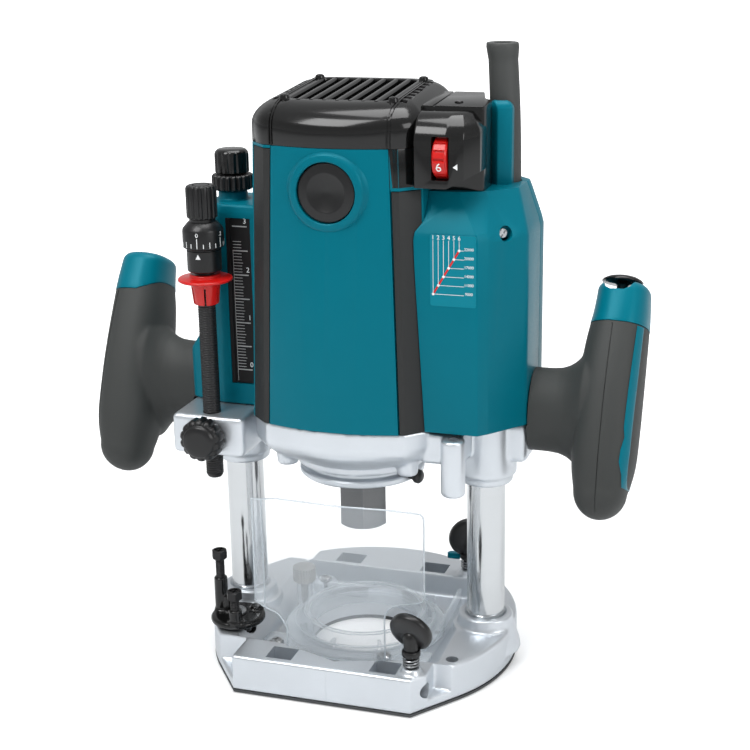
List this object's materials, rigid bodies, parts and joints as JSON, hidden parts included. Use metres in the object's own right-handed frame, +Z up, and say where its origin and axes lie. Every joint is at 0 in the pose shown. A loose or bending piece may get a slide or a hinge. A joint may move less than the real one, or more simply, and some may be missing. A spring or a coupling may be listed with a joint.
{
  "type": "plunge router",
  "caption": "Plunge router: a motor head with two side grips slides on twin columns above a flat base, with a collet, depth stop turret and speed dial.",
  "frame": {"origin": "collet axis at the sole plane, where the cutter passes through the base", "axes": "+X to the operator's right, +Y away from the operator, +Z up along the plunge columns"},
  "size_m": [0.2938, 0.157, 0.325],
  "materials": {
    "cast_aluminium": "sand-cast, satin",
    "column_steel": "ground and polished",
    "dark_steel": "blackened",
    "spring_steel": "plain",
    "screw_steel": "zinc plated",
    "collet_steel": "ground",
    "teal_plastic": "glass-filled, fine texture",
    "strip_plastic": "satin",
    "black_plastic": "glossy",
    "black_knob": "satin",
    "grip_rubber": "soft, fine texture",
    "cord_rubber": "soft",
    "clear_plastic": "clear",
    "sole_plastic": "smooth",
    "red_plastic": "glossy",
    "grey_plastic": "satin",
    "bronze": "sintered",
    "brush_brass": "plain",
    "lamination_steel": "stacked sheets",
    "copper": "turned",
    "circuit_green": "solder mask"
  },
  "bodies": {
    "base": {"base_plate": "cast_aluminium", "sole_plate": "sole_plastic", "left_column": "column_steel", "right_column": "column_steel", "limit_rod": "dark_steel", "dust_collar": "clear_plastic", "chip_deflector": "clear_plastic", "base_screws": "screw_steel", "wing_springs": "spring_steel", "plunge_springs": "spring_steel", "turret_pivot": "screw_steel"},
    "head": {"motor_bracket": "cast_aluminium", "bearing_retainer": "cast_aluminium", "column_bushes": "bronze", "motor_housing": "teal_plastic", "front_panel": "teal_plastic", "corner_strips": "strip_plastic", "top_cap": "black_plastic", "brush_caps": "black_knob", "brush_gear": "brush_brass", "field_stator": "lamination_steel", "motor_bearings": "column_steel", "dial_housing": "black_plastic", "cord_guard": "cord_rubber", "switch_housing": "teal_plastic", "switch_cover": "teal_plastic", "scale_housing": "teal_plastic", "depth_scale": "black_plastic", "speed_controller": "circuit_green", "power_switch": "strip_plastic", "left_grip": "grip_rubber", "left_grip_cap": "teal_plastic", "right_grip": "grip_rubber", "right_grip_cap": "teal_plastic", "right_grip_stripe": "teal_plastic", "handle_bolts": "screw_steel", "housing_screws": "screw_steel"},
    "turret": {"stopper_turret": "black_knob"},
    "tall_stop": {"tall_stop_screw": "dark_steel"},
    "short_stop": {"short_stop_screw": "dark_steel"},
    "front_wing": {"front_wing_screw": "black_knob"},
    "rear_wing": {"rear_wing_screw": "black_knob"},
    "collar_screw": {"dust_collar_screw": "grey_plastic"},
    "limit_nut": {"limit_nut": "black_knob"},
    "limit_knob": {"limit_knob": "black_knob"},
    "rotor": {"armature_shaft": "column_steel", "armature_core": "lamination_steel", "commutator": "copper", "cooling_fan": "black_plastic", "collet_cone": "collet_steel"},
    "collet_nut": {"collet_nut": "collet_steel"},
    "speed_dial": {"speed_dial": "red_plastic"},
    "trigger": {"trigger": "black_knob"},
    "lock_off_button": {"lock_off_button": "black_knob"},
    "lock_lever": {"plunge_lock_lever": "black_knob"},
    "shaft_lock": {"shaft_lock_button": "black_knob"},
    "pole": {"stopper_pole": "dark_steel"},
    "fine_knob": {"fine_adjust_knob": "black_knob"},
    "pointer": {"depth_pointer": "red_plastic"},
    "setting_nut": {"setting_nut": "black_knob"}
  },
  "joints": [
    {"name": "plunge", "type": "slide", "parent": "base", "child": "head", "axis": [0, 0, -1], "range_m": [0, 0.042], "stiffness_N_per_m": 650, "springref_m": -0.14, "deforming": ["plunge_springs"]},
    {"name": "turret_turn", "type": "hinge", "parent": "base", "child": "turret", "pos_m": [-0.0605, -0.0355, 0.024], "axis": [0, 0, 1], "continuous": true},
    {"name": "tall_stop_turn", "type": "hinge", "parent": "turret", "child": "tall_stop", "pos_m": [-0.07098, -0.03289, 0.045], "axis": [0, 0, 1], "continuous": true},
    {"name": "short_stop_turn", "type": "hinge", "parent": "turret", "child": "short_stop", "pos_m": [-0.05752, -0.04588, 0.035], "axis": [0, 0, 1], "continuous": true},
    {"name": "front_wing_turn", "type": "hinge", "parent": "base", "child": "front_wing", "pos_m": [0.046, -0.065, 0.03], "axis": [0, 0, 1], "continuous": true},
    {"name": "rear_wing_turn", "type": "hinge", "parent": "base", "child": "rear_wing", "pos_m": [0.043, 0.058, 0.03], "axis": [0, 0, 1], "continuous": true},
    {"name": "collar_screw_turn", "type": "hinge", "parent": "base", "child": "collar_screw", "pos_m": [-0.041, 0.014, 0.03], "axis": [0, 0, 1], "continuous": true},
    {"name": "limit_nut_turn", "type": "hinge", "parent": "base", "child": "limit_nut", "pos_m": [-0.068, 0, 0.254], "axis": [0, 0, 1], "continuous": true},
    {"name": "limit_knob_turn", "type": "hinge", "parent": "base", "child": "limit_knob", "pos_m": [-0.068, 0, 0.265], "axis": [0, 0, 1], "continuous": true},
    {"name": "spindle_spin", "type": "hinge", "parent": "head", "child": "rotor", "pos_m": [0, 0, 0.18], "axis": [0, 0, 1], "continuous": true},
    {"name": "collet_nut_turn", "type": "hinge", "parent": "rotor", "child": "collet_nut", "pos_m": [0, 0, 0.085], "axis": [0, 0, 1], "continuous": true},
    {"name": "speed_dial_turn", "type": "hinge", "parent": "head", "child": "speed_dial", "pos_m": [0.0545, -0.0305, 0.276], "axis": [1, 0, 0], "range_deg": [-150, 0]},
    {"name": "trigger_pull", "type": "slide", "parent": "head", "child": "trigger", "axis": [0, -0.8992, 0.4375], "range_m": [0, 0.004], "stiffness_N_per_m": 1200, "springref_m": -0.004},
    {"name": "lock_off_press", "type": "slide", "parent": "head", "child": "lock_off_button", "axis": [0, -0.4375, -0.8992], "range_m": [0, 0.003], "stiffness_N_per_m": 1200, "springref_m": -0.003},
    {"name": "lock_lever_turn", "type": "hinge", "parent": "head", "child": "lock_lever", "pos_m": [-0.068, 0.02, 0.121], "axis": [0, 1, 0], "range_deg": [-45, 0]},
    {"name": "shaft_lock_press", "type": "slide", "parent": "head", "child": "shaft_lock", "axis": [-0.9272, 0.3746, 0], "range_m": [0, 0.003], "stiffness_N_per_m": 1200, "springref_m": -0.003},
    {"name": "pole_slide", "type": "slide", "parent": "head", "child": "pole", "axis": [0, 0, 1], "range_m": [-0.042, 0.014]},
    {"name": "fine_knob_turn", "type": "hinge", "parent": "pole", "child": "fine_knob", "pos_m": [-0.071, -0.033, 0.236], "axis": [0, 0, 1], "continuous": true},
    {"name": "pointer_slide", "type": "slide", "parent": "pole", "child": "pointer", "axis": [0, 0, -1], "range_m": [-0.001, 0.055]},
    {"name": "setting_nut_turn", "type": "hinge", "parent": "head", "child": "setting_nut", "pos_m": [-0.071, -0.048, 0.128], "axis": [0, 1, 0], "continuous": true}
  ]
}
